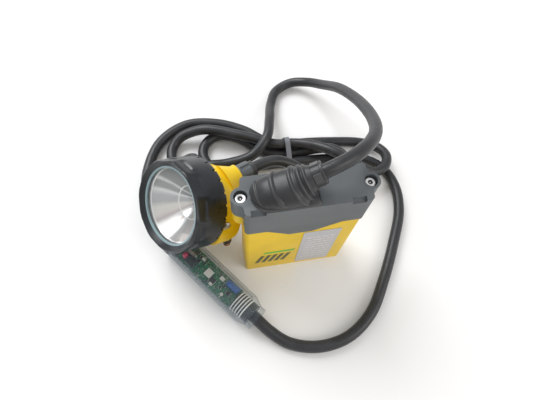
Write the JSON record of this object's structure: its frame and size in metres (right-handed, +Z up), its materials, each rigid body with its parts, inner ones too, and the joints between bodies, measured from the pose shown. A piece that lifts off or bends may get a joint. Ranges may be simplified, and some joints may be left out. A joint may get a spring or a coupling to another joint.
{
  "type": "miner's cap lamp",
  "caption": "Corded miner's cap lamp: upright belt battery in a lidded case, clear inline charger module and a round headpiece with a rotary switch, joined by a thick rubber cord tied in a bundle.",
  "frame": {"origin": "centre of the battery case's bottom face, on the surface the lamp stands on", "axes": "+X along the battery's width towards the side the front cord loops round, +Y towards the battery's belt loop, +Z up"},
  "size_m": [0.228, 0.262, 0.1315],
  "materials": {
    "case_yellow": "fine moulded satin",
    "cover_grey": "fine moulded satin",
    "rubber_black": "matt",
    "screw_chrome": "polished",
    "cell_sleeve": "shrink sleeve",
    "tray_plastic": "moulded",
    "nickel": "rolled",
    "circuit_green": "solder mask",
    "part_black": "moulded",
    "knob_black": "moulded",
    "steel_bright": "turned",
    "label_silver": "satin foil",
    "badge_green": "printed",
    "tube_clear": "clear polycarbonate",
    "part_white": "moulded",
    "part_red": "glossy",
    "part_blue": "sleeved",
    "bezel_black": "moulded semi-gloss",
    "lens_clear": "clear polycarbonate",
    "gasket_teal": "smooth silicone",
    "reflector_metal": "vacuum metallised",
    "led_yellow": "phosphor",
    "aluminium": "machined",
    "brass": "turned",
    "cord_rubber": "semi-matt, faint wrinkles"
  },
  "bodies": {
    "lamp": {"battery_case": "case_yellow", "battery_cover": "cover_grey", "cover_gasket": "rubber_black", "cover_screws": "screw_chrome", "cell_1": "cell_sleeve", "cell_2": "cell_sleeve", "cell_3": "cell_sleeve", "cell_4": "cell_sleeve", "cell_tray_bottom": "tray_plastic", "cell_tray_top": "tray_plastic", "cell_links": "nickel", "protection_board": "circuit_green", "board_parts": "part_black", "belt_loop": "knob_black", "belt_loop_screws": "steel_bright", "rating_plate": "label_silver", "front_badge": "badge_green", "cable_boot": "rubber_black", "boot_collar": "cover_grey", "module_tube": "tube_clear", "module_rear_cap": "cover_grey", "module_rear_seal": "rubber_black", "module_gland": "part_black", "module_nut": "cover_grey", "module_board": "circuit_green", "module_chips": "part_white", "module_diode": "part_red", "module_capacitor": "part_blue", "module_inductor": "part_black", "head_housing": "case_yellow", "bezel": "bezel_black", "bezel_seal": "rubber_black", "lens": "lens_clear", "lens_gasket": "gasket_teal", "reflector": "reflector_metal", "led_board": "part_white", "led_emitter": "led_yellow", "heat_sink": "aluminium", "driver_board": "circuit_green", "driver_parts": "part_black", "switch_seal": "rubber_black", "switch_bush": "brass", "contact_screw": "steel_bright", "contact_post": "brass", "contact_collar": "part_black", "head_gland": "cover_grey", "gland_nut": "rubber_black", "helmet_hook": "steel_bright", "hook_screws": "steel_bright", "cord_battery_to_module": "cord_rubber", "cord_module_to_head": "cord_rubber", "cord_tie": "part_black"},
    "switch": {"switch_knob": "knob_black", "switch_shaft": "steel_bright"}
  },
  "joints": [
    {"name": "switch_turn", "type": "hinge", "parent": "lamp", "child": "switch", "pos_m": [-0.0575, 0.03582, 0.03996], "axis": [-0.4226, 0.9063, 0], "range_deg": [0, 90]}
  ]
}
